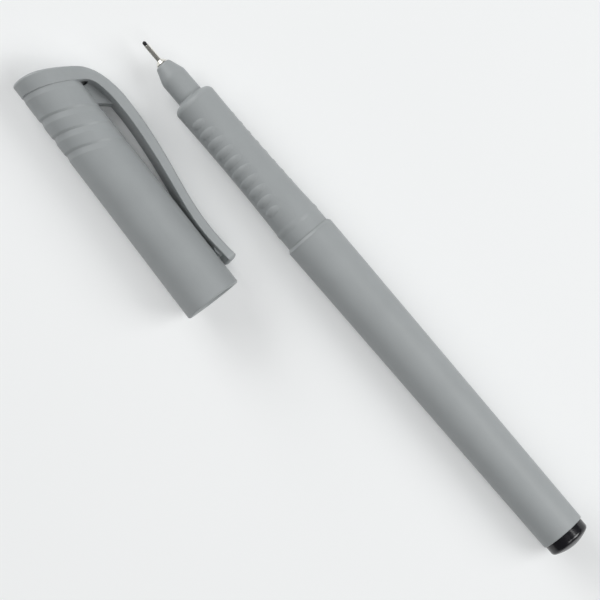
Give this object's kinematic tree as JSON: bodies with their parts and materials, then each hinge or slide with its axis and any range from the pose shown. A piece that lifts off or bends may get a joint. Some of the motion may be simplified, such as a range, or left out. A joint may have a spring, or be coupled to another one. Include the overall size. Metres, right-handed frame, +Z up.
{
  "type": "fineliner pen",
  "caption": "Slim fineliner pen with a steel needle tip, ribbed grip and tapered barrel, lying beside its push-on cap with a pocket clip.",
  "frame": {"origin": "centre of the layout's footprint on the table that the pen and its cap lie on", "axes": "+X along the pen from the nib to the end plug, +Y from the cap to the pen, +Z up off the table"},
  "size_m": [0.1391, 0.0336, 0.012],
  "materials": {
    "grey_plastic": "satin moulded, very fine grain",
    "liner_plastic": "plain moulded",
    "black_plastic": "polished",
    "steel": "turned stainless",
    "nib_plastic": "inked",
    "fibre": "ink-soaked bonded fibre",
    "film": "thin clear film"
  },
  "bodies": {
    "pen": {"barrel": "grey_plastic", "end_plug": "black_plastic", "grip_section": "grey_plastic", "needle_sleeve": "steel", "tip_collar": "steel", "nib": "nib_plastic", "ink_reservoir": "fibre", "reservoir_wrap": "film"},
    "cap": {"cap_shell": "grey_plastic", "inner_cap": "liner_plastic"},
    "clip": {"pocket_clip": "grey_plastic"}
  },
  "joints": [
    {"name": "cap_slide", "type": "slide", "parent": "pen", "child": "cap", "axis": [-0.9988, 0.0492, 0], "range_m": [0, 0.055]},
    {"name": "clip_flex", "type": "hinge", "parent": "cap", "child": "clip", "pos_m": [-0.05291, 0.00133, 0.00239], "axis": [0.0081, 0.3099, 0.9507], "range_deg": [0, 4], "stiffness_Nm_per_rad": 0.5}
  ]
}
